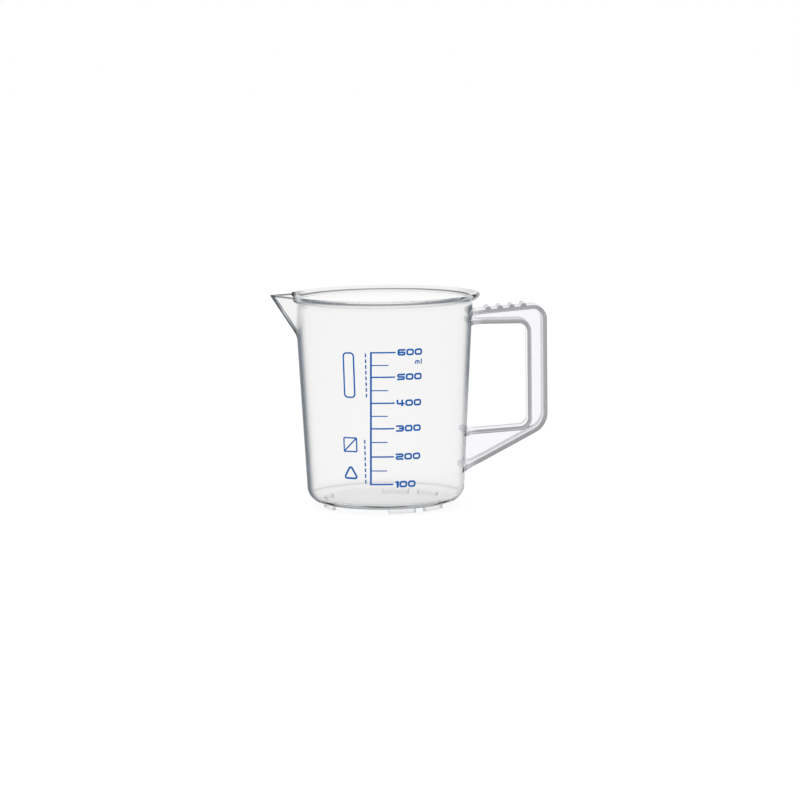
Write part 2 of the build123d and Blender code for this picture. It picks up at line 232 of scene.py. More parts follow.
def foot_mark(radius, azimuth):
    """Painted shade on a foot: high at its two ends and low along its rounded lower edge."""
    across, along = foot_distances(radius, azimuth)
    at_end = (np.abs(along) < 0.3) * (across > -0.01)
    at_side = (across > 0.03) * (across < 0.3) * (along > 0)
    return np.maximum(FOOT_END_MARK * at_end, FOOT_SIDE_MARK * at_side)


def spout_top_z(radius, phi):
    """Height of the spout's top edge, which falls from the tip towards the rim."""
    return TOTAL_HEIGHT - SPOUT_DROOP * np.maximum(-SPOUT_TIP_X - radius * np.cos(phi), 0)


def top_z(radius, phi):
    """Height of the vessel's top surface: the rim's slope, or the spout's edge inside it."""
    slope = (TOTAL_HEIGHT - MOUTH_EDGE_Z) / (RIM_LAND_INNER_RADIUS - MOUTH_RADIUS)
    rim = np.minimum(TOTAL_HEIGHT, MOUTH_EDGE_Z + (radius - MOUTH_RADIUS) * slope)
    in_gap = smooth_step((RIM_GAP_HALF_ANGLE - np.abs(phi)) / radians(0.5) + 0.5)
    return rim + (spout_top_z(radius, phi) - rim) * in_gap


def keel_mark(phi, z):
    """Painted shade: 1 along the keel, where the spout's two sides meet edge-on, and 0 away from it."""
    ridge = spout_radius(np.zeros_like(phi), z, 0)
    behind = ridge - spout_radius(phi, z, 0) * np.cos(phi)
    clear_of_wall = smooth_step((ridge - wall_radius(z)) / 1.5)
    band = KEEL_BAND + TIP_BAND * smooth_step((z - TIP_BAND_Z) / 5.0)
    near_keel = smooth_step((band - behind) / 0.5 + 0.5) * (np.abs(phi) < radians(16))
    return 0.9 * near_keel * clear_of_wall


def crease_mark(phi, z):
    """Painted shade in the crease: 1 along the line where the spout's sides leave the wall, fading to 0
    beside it.
    """
    apart = np.abs(spout_radius(phi, z, 0) - wall_radius(z))
    beside_spout = (np.abs(phi) < radians(24)) * (np.abs(phi) > radians(2))
    return (1 - smooth_step(apart / CREASE_BAND)) * beside_spout


def vessel_rings(azimuth):
    """Radius, height, painted dark mark and share of painted edge shade of every ring of the vessel, from
    below to the floor.
    """
    phi = np.mod(azimuth, 2 * np.pi) - np.pi
    ones = np.ones_like(azimuth)
    rings = []

    def add(radius, z, dark_mark=0.0, edge_shade_share=0.0):
        rings.append((radius * ones, z * ones, dark_mark * ones, edge_shade_share * ones))

    # underside with its feet
    inner = FOOT_OUTER_RADIUS - FOOT_WIDTH
    radii = [7, 14, 21, 28, 33, inner - 0.15]
    radii += [inner + step for step in FOOT_EDGE_STEPS]
    radii += [inner + FOOT_WIDTH / 2]
    radii += [FOOT_OUTER_RADIUS - step for step in reversed(FOOT_EDGE_STEPS)]
    for radius in radii:
        add(radius, BASE_Z - foot_drop(radius, azimuth), foot_mark(radius, azimuth))

    # outer corner, then the wall; its painted edge shade is weaker on the handle's side, most of all low
    # down, which paints that side lighter
    handle_side = smooth_step(np.cos(azimuth) * 1.5)

    def wall_edge_shade(z):
        return 1 - np.interp(z, WALL_SHADE_EASING_LEVELS, WALL_SHADE_EASINGS) * handle_side

    lean = atan(WALL_TAPER)
    tilt = 1 / cos(lean)
    centre_z = BASE_Z + OUTER_CORNER_RADIUS
    centre_r = wall_radius(centre_z) - OUTER_CORNER_RADIUS * tilt
    for t in np.linspace(0.02, 1, 33):
        angle = -np.pi / 2 + t * (np.pi / 2 - lean)
        radius = centre_r + OUTER_CORNER_RADIUS * cos(angle)
        # painted shade: a dark line round the outer corner, lying in a soft band
        away = abs(t - CORNER_LINE_PLACE)
        line = CORNER_LINE_MARK * max(0.0, 1 - away / CORNER_LINE_REACH)
        haze = CORNER_BAND_SHADE * smooth_step(1 - away / CORNER_BAND_REACH)
        add(radius, centre_z + OUTER_CORNER_RADIUS * sin(angle), line + haze, t * t * wall_edge_shade(0))
    wall_levels = list(np.linspace(WALL_BOTTOM_Z, SPOUT_LOW_Z, 10))
    wall_levels += list(np.arange(SPOUT_LOW_Z + 1, WALL_TOP_Z, 1.0))
    for z in wall_levels:
        # painted shade along the keel and in the crease
        mark = np.maximum(keel_mark(phi, z), 0.35 * crease_mark(phi, z))
        add(smooth_max(wall_radius(z), spout_radius(phi, z, 0), SPOUT_BLEND), z, mark, wall_edge_shade(z))

    # rim's underside, tip and outer edge; the same rings run up the outside of the spout
    root_r = wall_radius(RIM_BOTTOM_Z)
    chord = np.array([RIM_RADIUS - root_r, RIM_TIP_Z - RIM_BOTTOM_Z])
    length = np.hypot(*chord)
    middle = np.array([root_r, RIM_BOTTOM_Z]) + chord / 2
    inward = np.array([-chord[1], chord[0]]) / length
    centre = middle + inward * np.sqrt(RIM_UNDERSIDE_RADIUS**2 - length**2 / 4)
    first = np.arctan2(RIM_BOTTOM_Z - centre[1], root_r - centre[0])
    last = np.arctan2(RIM_TIP_Z - centre[1], RIM_RADIUS - centre[0])
    underside = [(root_r + out, RIM_BOTTOM_Z + up) for out, up in RIM_ROOT_EASING]
    for angle in np.linspace(first, last, 14):
        radius = centre[0] + RIM_UNDERSIDE_RADIUS * cos(angle)
        if radius > underside[3][0] + 0.3:
            underside.append((radius, centre[1] + RIM_UNDERSIDE_RADIUS * sin(angle)))
    underside.append((RIM_RADIUS, TOTAL_HEIGHT - RIM_EDGE_RADIUS))
    # Painted shade on the rim: light all round, stronger towards its ends and on its end faces, where its
    # thick section shows (partly that real thickness), and beside the handle. Its painted edge shade is
    # weaker beside the handle.
    away = np.abs(phi) - RIM_GAP_HALF_ANGLE
    rim_share = smooth_step(away / radians(0.5) + 0.5)
    spout_r = spout_radius(phi, 122.8, 0)
    end_face = RIM_END_FACE * (1 - smooth_step((np.abs(away) - radians(0.2)) / radians(0.3)))
    past_end = smooth_step((away - radians(0.5)) / RIM_END_RISE)
    before_end = smooth_step(-away / radians(2))
    set_in = 0.35 + 0.65 * smooth_step(away / radians(1.5))
    towards_end = 1 - smooth_step((away - RIM_END_HOLD) / RIM_END_FADE)
    rim_shade = RIM_SHADE + RIM_END_SHADE * towards_end * set_in
    beside_handle = smooth_step((np.cos(azimuth) - 0.7) / 0.3)
    # painted shade along the mouth's edge, a little stronger towards the spout and the handle, weaker in
    # the spout's gap
    lip_shade = 0.86 + 0.14 * np.abs(np.cos(azimuth))
    lip_shade = lip_shade * (1 - 0.65 * smooth_step(-away / radians(2)))
    edge_r = SPOUT_EDGE_RADIUS + (RIM_EDGE_RADIUS - SPOUT_EDGE_RADIUS) * rim_share
    corner_r = np.maximum(root_r, spout_r)
    edge_z = top_z(corner_r, phi) * (1 - rim_share) + TOTAL_HEIGHT * rim_share
    low_z, high_z = underside[0][1], TOTAL_HEIGHT - RIM_EDGE_RADIUS
    for radius, z in underside:
        level = low_z + (z - low_z) * (edge_z - edge_r - low_z) / (high_z - low_z)
        flange = wall_radius(level) + (radius - wall_radius(z)) * rim_share
        depth = 0.5 * np.clip((z - RIM_BOTTOM_Z - 1.0) / 1.2, 0, 1) * past_end * (1 - 0.8 * beside_handle)
        # painted shade band along the spout's top edges
        edge = 0.95 * smooth_step((level - edge_z + EDGE_BAND) / 0.4 + 0.5) * before_end
        on_spout = np.maximum.reduce([keel_mark(phi, level), 0.35 * crease_mark(phi, level), edge])
        on_rim = np.maximum(rim_shade, 0.42 * beside_handle * (z > RIM_BOTTOM_Z))
        mark = np.maximum(on_spout * (1 - rim_share) + on_rim * rim_share, end_face * (z > RIM_BOTTOM_Z))
        outside = smooth_max(flange, spout_radius(phi, level, 0), SPOUT_TOP_BLEND)
        add(outside, level, mark, depth * rim_share)
    side_r = rings[-1][0]
    for beta in np.radians([15, 30, 45, 60, 75, 90]):
        radius = side_r - edge_r * (1 - cos(beta))
        mark = np.maximum(0.7 * before_end * (1 - rim_share) + rim_shade * rim_share, end_face)
        add(radius, edge_z - edge_r + edge_r * sin(beta), mark, 0.1 * cos(beta) * past_end * rim_share)

    # top surface, from the outer edge to the mouth's edge
    outer_r = side_r - edge_r
    inner_r, inner_z = MOUTH_RADIUS * ones, MOUTH_EDGE_Z * ones
    for _ in range(4):
        inner_r = smooth_max(MOUTH_RADIUS, spout_radius(phi, inner_z, SPOUT_INSET), SPOUT_BLEND / 2)
        inner_z = top_z(inner_r, phi)
    for t in (0.07, 0.115, 0.16, 0.25, 0.37, 0.5, 0.62, 0.74, 0.86, 0.95):
        radius = outer_r + (inner_r + LIP_RADIUS - outer_r) * t
        mark = np.maximum(0.4 * before_end * (1 - rim_share) + rim_shade * rim_share, end_face)
        add(radius, top_z(radius, phi), mark)
    for beta in np.radians([0, 30, 60]):
        drop = LIP_RADIUS * (1 - cos(beta))
        radius = inner_r + LIP_RADIUS * (1 - sin(beta))
        add(radius, top_z(radius, phi) - drop, lip_shade)

    # inside of the spout and the bore
    bore_top = wall_radius(RIM_BOTTOM_Z) - WALL_THICKNESS
    first_z = MOUTH_EDGE_Z - LIP_RADIUS
    fine = first_z - np.array([0, 0.2, 0.4, 0.6, 0.8])
    for z in np.concatenate([fine, np.arange(first_z - 1.5, SPOUT_LOW_Z, -1.0), [SPOUT_LOW_Z]]):
        stretch = (inner_z - LIP_RADIUS - SPOUT_LOW_Z) / (first_z - SPOUT_LOW_Z)
        level = SPOUT_LOW_Z + (z - SPOUT_LOW_Z) * stretch
        bore = np.where(
            level > RIM_BOTTOM_Z,
            np.interp(level, [RIM_BOTTOM_Z, MOUTH_EDGE_Z], [bore_top, MOUTH_RADIUS]),
            wall_radius(level) - WALL_THICKNESS,
        )
        # painted dark line just under the mouth's edge
        mark = np.clip(1 - (first_z - z) / LIP_LINE, 0, 1) * lip_shade
        add(smooth_max(bore, spout_radius(phi, level, SPOUT_INSET), SPOUT_BLEND), level, mark)
    for z in np.linspace(SPOUT_LOW_Z - 8, WALL_BOTTOM_Z, 9):
        add(wall_radius(z) - WALL_THICKNESS, z)

    # inner corner, then the floor
    centre_z = FLOOR_Z + INNER_CORNER_RADIUS
    centre_r = wall_radius(centre_z) - WALL_THICKNESS - INNER_CORNER_RADIUS * tilt
    for t in np.linspace(0, 1, 17):
        angle = -lean - t * (np.pi / 2 - lean)
        radius = centre_r + INNER_CORNER_RADIUS * cos(angle)
        add(radius, centre_z + INNER_CORNER_RADIUS * sin(angle), FLOOR_TINT * t)
    for radius in (30, 22, 14, 7):
        add(radius, FLOOR_Z, FLOOR_TINT)
    return rings


def vessel_mesh():
    """Closed skin of the whole vessel: feet, base, wall, rim, spout, bore and floor."""
    azimuth = vessel_columns()
    rings = vessel_rings(azimuth)
    n = len(azimuth)
    points, dark_marks, edge_shade_shares = [(0, 0, BASE_Z)], [0.0], [0.0]
    for radius, z, dark_mark, edge_shade_share in rings:
        points += list(zip(radius * np.cos(azimuth), radius * np.sin(azimuth), z))
        dark_marks += list(dark_mark)
        edge_shade_shares += list(edge_shade_share)
    points.append((0, 0, FLOOR_Z))
    # marks for the material: painted dark lines and bands, and the share of painted edge shade
    marks = {"painted_shade_mark": dark_marks + [0.0], "edge_shade_share": edge_shade_shares + [0.0]}
    faces = []
    last = len(points) - 1
    for i in range(n):
        j = (i + 1) % n
        faces.append((0, 1 + j, 1 + i))
        for k in range(len(rings) - 1):
            a, b = 1 + k * n, 1 + (k + 1) * n
            faces.append((a + i, a + j, b + j, b + i))
        top = 1 + (len(rings) - 1) * n
        faces.append((top + i, top + j, last))
    return points, faces, marks


# ---------------------------------------------------------------- handle


def wall_crossing(z_at_axis, slope):
    """Point where a straight side-view line meets the outside of the wall."""
    x = (WALL_RADIUS_AT_FOOT_PLANE + WALL_TAPER * z_at_axis) / (1 - WALL_TAPER * slope)
    return np.array([x, z_at_axis + slope * x])


def rail_line(top_z_at_axis, top_slope, upright_x, bottom_z_at_axis, bottom_slope, radii, counts):
    """Centre line of a rail: points and outward directions, from its top root to its bottom root."""
    half = RAIL_THICKNESS / 2
    top_z0 = top_z_at_axis - half * np.hypot(1, top_slope)
    bottom_z0 = bottom_z_at_axis + half * np.hypot(1, bottom_slope)
    upright = upright_x - half
    start = wall_crossing(top_z0, top_slope)
    end = wall_crossing(bottom_z0, bottom_slope)
    corners = [
        np.array([upright, top_z0 + top_slope * upright]),
        np.array([upright, bottom_z0 + bottom_slope * upright]),
    ]
    stops = [start, *corners, end]
    pieces = []
    tangents = [(b - a) / np.linalg.norm(b - a) for a, b in zip(stops, stops[1:])]
    arcs = []
    for corner, before, after, radius in zip(corners, tangents, tangents[1:], radii):
        radius = radius - half
        turn = np.arccos(np.clip(before @ after, -1, 1))
        cut = radius * np.tan(turn / 2)
        arcs.append((corner - before * cut, corner + after * cut, before, after, turn, radius))
    first, second = arcs
    pieces.append(("run", start, first[0], tangents[0]))
    pieces.append(("arc", *first))
    pieces.append(("run", first[1], second[0], tangents[1]))
    pieces.append(("arc", *second))
    pieces.append(("run", second[1], end, tangents[2]))
    points, outward = [], []
    for piece, shares in zip(pieces, counts):
        if piece[0] == "run":
            _, a, b, tangent = piece
            for t in shares:
                points.append(a + (b - a) * t)
                outward.append(np.array([-tangent[1], tangent[0]]))
        else:
            _, a, _, before, _, turn, radius = piece
            normal = np.array([-before[1], before[0]])
            centre = a - normal * radius
            for t in shares:
                angle = -turn * t
                rotated = np.array([
                    normal[0] * cos(angle) - normal[1] * sin(angle),
                    normal[0] * sin(angle) + normal[1] * cos(angle),
                ])
                points.append(centre + rotated * radius)
                outward.append(rotated)
    return np.array(points), np.array(outward)


def rib_shares(start_x, end_x):
    """Places along the top run, as shares of its length, that outline the thumb ribs and the root."""
    near_wall = start_x + np.array([0, 0.25, 0.5, 0.8, 1.2, 1.7, 2.4, 3.3, 4.5, 6.0, ROOT_REACH])
    angles = np.radians([180, 174, 165, 150, 135, 120, 105, 90, 75, 60, 45, 30, 15, 6, 0])
    ribs = [RIB_FIRST_X + RIB_PITCH * i + (RIB_RADIUS + 0.001) * np.cos(a)
            for i in range(RIB_COUNT) for a in angles]
    xs = np.concatenate([near_wall, ribs])
    return [(x - start_x) / (end_x - start_x) for x in xs if x < end_x - 0.05]


def handle_lines():
    """Matching centre lines of the outer and the inner rail, with the same number of stations."""
    half = RAIL_THICKNESS / 2
    start_x = wall_crossing(OUTER_TOP_Z_AT_AXIS - half * np.hypot(1, TOP_SLOPE), TOP_SLOPE)[0]
    turn = np.pi / 2 + atan(TOP_SLOPE)
    cut = (OUTER_CORNER_RADII[0] - half) * np.tan(turn / 2)
    end_x = GRIP_X - half - cut * cos(atan(TOP_SLOPE))
    top = rib_shares(start_x, end_x)
    arc = list(np.linspace(0, 1, 15))
    grip = [0.02, 0.1, 0.3, 0.5, 0.7, 0.9, 0.98]
    bottom = [0.02, 0.1, 0.2, 0.32, 0.44, 0.54, 0.63, 0.71]
    bottom += [1 - d / 38 for d in (10, 8.5, 7.2, 6, 5, 4.2, 3.4, 2.7, 2.1, 1.6, 1.2, 0.8, 0.5, 0.25, 0)]
    counts = (top, arc, grip, arc, bottom)
    outer = rail_line(OUTER_TOP_Z_AT_AXIS, TOP_SLOPE, GRIP_X, OUTER_BRACE_Z_AT_AXIS, BRACE_SLOPE,
                      OUTER_CORNER_RADII, counts)
    inner = rail_line(INNER_TOP_Z, 0.0, FINGER_RAIL_X, INNER_BOTTOM_Z_AT_AXIS, INNER_BOTTOM_SLOPE,
                      (INNER_RAIL_RADIUS, INNER_RAIL_RADIUS), counts)
    return outer, inner, len(top)


def lean_to_wall(points, outward):
    """Turn the section directions near the wall until they lie along it, keeping the thickness."""
    wall_up = np.array([WALL_TAPER, 1.0]) / np.hypot(1, WALL_TAPER)
    gap = points[:, 0] - wall_radius(points[:, 1])
    share = smooth_step(1 - gap / LEAN_REACH)[:, None]
    upright = wall_up[None, :] * np.sign(outward[:, 1:2] + 1e-12)
    turned = outward * (1 - share) + upright * share
    turned /= np.linalg.norm(turned, axis=1)[:, None]
    scale = (turned * outward).sum(axis=1)[:, None]
    return turned / scale


def root_share(points):
    """1 where a rail meets the wall, falling to 0 at the root's end."""
    gap = points[:, 0] - wall_radius(points[:, 1])
    return np.clip(1 - gap / ROOT_REACH, 0, 1)


def half_width_at(share):
    """Half the rail's width, which spreads towards the wall."""
    return HANDLE_WIDTH / 2 + ROOT_SIDE_SPREAD * share**ROOT_SPREAD_POWER


def section_sides(half_width):
    """Distances from the middle at which a rail's section has points, and its rounding there."""
    edge = RAIL_EDGE_RADIUS
    betas = np.radians([0, 30, 60, 90])
    corner_y = half_width - edge + edge * np.sin(betas)
    corner_drop = edge * (1 - np.cos(betas))
    gammas = np.radians([90, 60, 30, 0])
    fillet_y = WEB_HALF + WEB_FILLET * (1 - np.sin(gammas))
    fillet_drop = WEB_FILLET * (1 - np.cos(gammas))
    flat_y = WEB_HALF + WEB_FILLET + (half_width - edge - WEB_HALF - WEB_FILLET) * np.array([0.3, 0.65])
    y = np.concatenate([fillet_y, flat_y, corner_y])
    fillet = np.concatenate([fillet_drop, np.zeros(2), np.zeros(4)])
    corner = np.concatenate([np.zeros(4), np.zeros(2), corner_drop])
    return y, fillet, corner


def rib_height(x):
    """How far the thumb ribs stand above the rail's top at x."""
    height = np.zeros_like(x)
    for i in range(RIB_COUNT):
        centre = RIB_FIRST_X + RIB_PITCH * i
        height = np.maximum(height, np.sqrt(np.maximum(RIB_RADIUS**2 - (x - centre) ** 2, 0)))
    return height


def to_space(point, y):
    """Side-view point and distance from the middle to a place in space, bent round the wall."""
    x, z = point
    radius = wall_radius(z)
    gap = x - radius
    share = float(smooth_step(1 - (gap - 2.0) / 12.0))
    bent = np.sqrt(max((x + ROOT_GAP) ** 2 - y * y, 0))
    return (x * (1 - share) + bent * share, y, z)


def root_thickness(share, y, half_width, gain):
    """Half the thickness of a rail, which swells in the middle of its root by the gain."""
    middle = gain * share**5
    return RAIL_THICKNESS / 2 + middle * (1 - abs(y) / half_width) + 0.15 * share**3


def handle_mesh():
    """Closed skin of the handle: two rails, the web between them, their roots and the ribs."""
    (outer, outer_out), (inner, inner_out), top_count = handle_lines()
    outer_dir = lean_to_wall(outer, outer_out)
    inner_dir = lean_to_wall(inner, inner_out)
    outer_share, inner_share = root_share(outer), root_share(inner)
    stations = len(outer)
    points, faces, marks = [], [], []
    loops = []
    for k in range(stations):
        top_half = k < stations / 2
        rib = rib_height(outer[k:k + 1, 0])[0] if k < top_count else 0.0
        loop = []

        def place(line, direction, offset, y, half_width, share):
            loop.append(len(points))
            points.append(to_space(line + direction * offset, y))
            # painted shade on the rails' rounded sides, lighter towards the roots
            beside = (abs(y) - half_width + RAIL_EDGE_RADIUS) / RAIL_EDGE_RADIUS
            marks.append(float(np.clip(beside, 0, 1)) * (1 - ROOT_SHADE_EASING * share))

        def outer_face(y, drop, hw):
            gain = OUTER_ROOT_GAINS[0 if top_half else 1]
            offset = root_thickness(outer_share[k], y, hw, gain) + rib - drop
            place(outer[k], outer_dir[k], offset, y, hw, outer_share[k])

        def outer_inside(y, drop, fillet, hw):
            gain = OUTER_ROOT_INSIDE_GAINS[0 if top_half else 1]
            offset = drop - fillet - root_thickness(outer_share[k], y, hw, gain)
            place(outer[k], outer_dir[k], offset, y, hw, outer_share[k])

        def inner_outside(y, drop, fillet, hw):
            gain = INNER_ROOT_OUTSIDE_GAINS[0 if top_half else 1]
            offset = root_thickness(inner_share[k], y, hw, gain) - drop + fillet
            place(inner[k], inner_dir[k], offset, y, hw, inner_share[k])

        def inner_face(y, drop, hw):
            offset = drop - root_thickness(inner_share[k], y, hw, INNER_ROOT_GAIN)
            place(inner[k], inner_dir[k], offset, y, hw, inner_share[k])

        hw_outer = half_width_at(outer_share[k])
        hw_inner = half_width_at(inner_share[k])
        y_o, fillet_o, corner_o = section_sides(hw_outer)
        y_i, fillet_i, corner_i = section_sides(hw_inner)
        n = len(y_o)
        for i in reversed(range(n)):
            outer_face(-y_o[i], corner_o[i], hw_outer)
        for i in range(n):
            outer_face(y_o[i], corner_o[i], hw_outer)
        for i in reversed(range(n)):
            outer_inside(y_o[i], corner_o[i], fillet_o[i], hw_outer)
        for i in range(n):
            inner_outside(y_i[i], corner_i[i], fillet_i[i], hw_inner)
        for i in reversed(range(n)):
            inner_face(y_i[i], corner_i[i], hw_inner)
        for i in range(n):
            inner_face(-y_i[i], corner_i[i], hw_inner)
        for i in reversed(range(n)):
            inner_outside(-y_i[i], corner_i[i], fillet_i[i], hw_inner)
        for i in range(n):
            outer_inside(-y_o[i], corner_o[i], fillet_o[i], hw_outer)
        loops.append(loop)
    size = len(loops[0])
    for a, b in zip(loops, loops[1:]):
        for i in range(size):
            j = (i + 1) % size
            faces.append((a[i], b[i], b[j], a[j]))
    for loop, flip in ((loops[0], False), (loops[-1], True)):
        faces += end_cap(loop, flip)
    return points, faces, {"painted_shade_mark": marks}


def end_cap(loop, flip):
    """Strips that close one end of the handle, following the wall's curve."""
    n = len(loop) // 8
    out_left, out_right = loop[:n], loop[n:2 * n]
    under_right, above_right = loop[2 * n:3 * n], loop[3 * n:4 * n]
    in_right, in_left = loop[4 * n:5 * n], loop[5 * n:6 * n]
    above_left, under_left = loop[6 * n:7 * n], loop[7 * n:8 * n]
    faces = []

    def strip(first, second):
        for (a, b), (c, d) in zip(zip(first, first[1:]), zip(second, second[1:])):
            faces.append((a, b, d, c))

    strip(out_left, list(reversed(under_left)))
    strip(out_right, list(reversed(under_right)))
    strip(above_right, list(reversed(in_right)))
    strip(list(reversed(above_left)), in_left)
    faces.append((out_left[-1], out_right[0], under_right[-1], under_left[0]))
    faces.append((under_left[0], under_right[-1], above_right[0], above_left[-1]))
    faces.append((above_left[-1], above_right[0], in_right[-1], in_left[0]))
    if flip:
        faces = [tuple(reversed(face)) for face in faces]
    return faces


# ---------------------------------------------------------------- pieces


def make_piece(name, points, faces, material, smooth_angle):
    """Mesh object from points in millimetres, smooth except across sharp edges."""
    mesh = bpy.data.meshes.new(name)
    mesh.from_pydata([tuple(float(c) * MM for c in p) for p in points], [], faces)
    mesh.validate()
    mesh.shade_smooth()
    mesh.set_sharp_from_angle(angle=radians(smooth_angle))
    mesh.materials.append(material)
    piece = bpy.data.objects.new(name, mesh)
    bpy.context.scene.collection.objects.link(piece)
    return piece


def set_marks(piece, marks):
    """Store named values, one for each point, that the materials read."""
    for mark, values in marks.items():
        piece.data.attributes.new(mark, "FLOAT", "POINT").data.foreach_set("value", values)


def fix_normals(piece):
    """Point every face outwards, and print how many edges are open."""
    bm = bmesh.new()
    bm.from_mesh(piece.data)
    bmesh.ops.recalc_face_normals(bm, faces=bm.faces)
    open_edges = [e for e in bm.edges if len(e.link_faces) != 2]
    print(piece.name, "faces", len(bm.faces), "open edges", len(open_edges))
    bm.to_mesh(piece.data)
    bm.free()


# ---------------------------------------------------------------- materials

# Painted edge shade: colours by how far a surface has turned edge-on, from 0 face-on to 1 edge-on. It
# stands in for the dark edges that refraction gives, and partly for the longer path through the plastic
# there.
CLEAR_VESSEL = (0.95, 0.946, 0.944)
CLEAR_HANDLE = (0.902, 0.888, 0.923)
VESSEL_EDGE_SHADE = [
    (0.0, CLEAR_VESSEL),
    (0.46, CLEAR_VESSEL),
    (0.53, (0.90, 0.895, 0.89)),
    (0.58, (0.79, 0.785, 0.78)),
    (0.612, (0.62, 0.62, 0.62)),
    (0.642, (0.40, 0.41, 0.43)),
    (0.675, (0.20, 0.225, 0.26)),
    (0.706, (0.105, 0.13, 0.16)),
    (0.75, (0.04, 0.055, 0.075)),
    (0.80, (0.015, 0.025, 0.04)),
    (1.0, (0.01, 0.02, 0.035)),
]
HANDLE_EDGE_SHADE = [(0.0, CLEAR_HANDLE), (0.6, CLEAR_HANDLE), (1.0, (0.8, 0.8, 0.84))]
EDGE_NARROWING = 0.06  # how much later the painted edge shade starts where its mark is near 0
# Colours of the painted shade that the dark marks mix in: near black on the vessel, grey on the handle.
VESSEL_SHADE_COLOUR = (0.02, 0.032, 0.05)
HANDLE_SHADE_COLOUR = (0.35, 0.36, 0.37)
COAT = 0.08


def new_material(name):
    """Node material with an empty tree apart from the shader and the output."""
    material = bpy.data.materials.new(name)
    material.use_nodes = True
    nodes = material.node_tree.nodes
    nodes.clear()
    shader = nodes.new("ShaderNodeBsdfPrincipled")
    output = nodes.new("ShaderNodeOutputMaterial")
    material.node_tree.links.new(shader.outputs["BSDF"], output.inputs["Surface"])
    return material, shader, output


def object_noise(material, scale, detail=3.0, stretch=(1, 1, 1)):
    """Noise over the object's own coordinates, in bumps per metre."""
    nodes, links = material.node_tree.nodes, material.node_tree.links
    place = nodes.new("ShaderNodeTexCoord")
    mapping = nodes.new("ShaderNodeMapping")
    mapping.inputs["Scale"].default_value = stretch
    noise = nodes.new("ShaderNodeTexNoise")
    noise.inputs["Scale"].default_value = scale
    noise.inputs["Detail"].default_value = detail
    links.new(place.outputs["Object"], mapping.inputs["Vector"])
    links.new(mapping.outputs["Vector"], noise.inputs["Vector"])
    return noise


def ramp_value(material, source, low, high, start=0.35, end=0.65):
    """Map a noise onto a range of values."""
    nodes, links = material.node_tree.nodes, material.node_tree.links
    span = nodes.new("ShaderNodeMapRange")
    span.inputs["From Min"].default_value = start
    span.inputs["From Max"].default_value = end
    span.inputs["To Min"].default_value = low
    span.inputs["To Max"].default_value = high
    links.new(source, span.inputs["Value"])
    return span.outputs["Result"]


def add_bump(material, shader, height, strength, distance):
    """Bump from a height value."""
    nodes, links = material.node_tree.nodes, material.node_tree.links
    bump = nodes.new("ShaderNodeBump")
    bump.inputs["Strength"].default_value = strength
    bump.inputs["Distance"].default_value = distance
    links.new(height, bump.inputs["Height"])
    links.new(bump.outputs["Normal"], shader.inputs["Normal"])


def painted_edge_shade(material, stops, flat_colour):
    """Painted shade: colour that darkens where clear plastic turns edge-on, as far as its mark on the
    points allows.
    """
    nodes, links = material.node_tree.nodes, material.node_tree.links
    facing = nodes.new("ShaderNodeLayerWeight")
    facing.inputs["Blend"].default_value = 0.5
    ramp = nodes.new("ShaderNodeValToRGB")
    elements = ramp.color_ramp.elements
    for place, colour in stops[1:-1]:
        elements.new(place)
    for element, (place, colour) in zip(elements, stops):
        element.position = place
        element.color = (*colour, 1)
    depth = nodes.new("ShaderNodeAttribute")
    depth.attribute_name = "edge_shade_share"
    narrower = nodes.new("ShaderNodeMapRange")
    narrower.inputs["To Min"].default_value = -EDGE_NARROWING
    narrower.inputs["To Max"].default_value = 0.0
    links.new(depth.outputs["Fac"], narrower.inputs["Value"])
    place_on_ramp = nodes.new("ShaderNodeMath")
    links.new(facing.outputs["Facing"], place_on_ramp.inputs[0])
    links.new(narrower.outputs["Result"], place_on_ramp.inputs[1])
    links.new(place_on_ramp.outputs["Value"], ramp.inputs["Fac"])
    cover = nodes.new("ShaderNodeMapRange")
    cover.inputs["From Max"].default_value = 0.5
    links.new(depth.outputs["Fac"], cover.inputs["Value"])
    mix = nodes.new("ShaderNodeMix")
    mix.data_type = "RGBA"
    links.new(cover.outputs["Result"], mix.inputs["Factor"])
    mix.inputs["A"].default_value = (*flat_colour, 1)
    links.new(ramp.outputs["Color"], mix.inputs["B"])
    return mix.outputs["Result"]


def clear_plastic(name, stops, flat_colour, absorb_colour, absorb_density, ior, roughness, ripple):
    """Moulded clear polypropylene: faint haze, soft flow ripples and fine scuffs, and painted shade where
    it turns edge-on.
    """
    material, shader, output = new_material(name)
    shader.inputs["IOR"].default_value = ior
    shader.inputs["Transmission Weight"].default_value = 1.0
    shader.inputs["Coat Weight"].default_value = COAT
    shader.inputs["Coat Roughness"].default_value = 0.08
    shader.inputs["Coat IOR"].default_value = 1.49
    links, nodes = material.node_tree.links, material.node_tree.nodes
    links.new(painted_edge_shade(material, stops, flat_colour), shader.inputs["Base Color"])
    scuffs = object_noise(material, 900, 4.0, (1, 1, 0.35))
    rough = ramp_value(material, scuffs.outputs["Fac"], roughness * 0.6, roughness * 1.6)
    links.new(rough, shader.inputs["Roughness"])
    flow = object_noise(material, 60, 2.0, (1, 1, 0.4))
    add_bump(material, shader, flow.outputs["Fac"], ripple, 0.0004)
    volume = nodes.new("ShaderNodeVolumeAbsorption")
    volume.inputs["Color"].default_value = (*absorb_colour, 1)
    volume.inputs["Density"].default_value = absorb_density
    links.new(volume.outputs["Volume"], output.inputs["Volume"])
    return material, shader


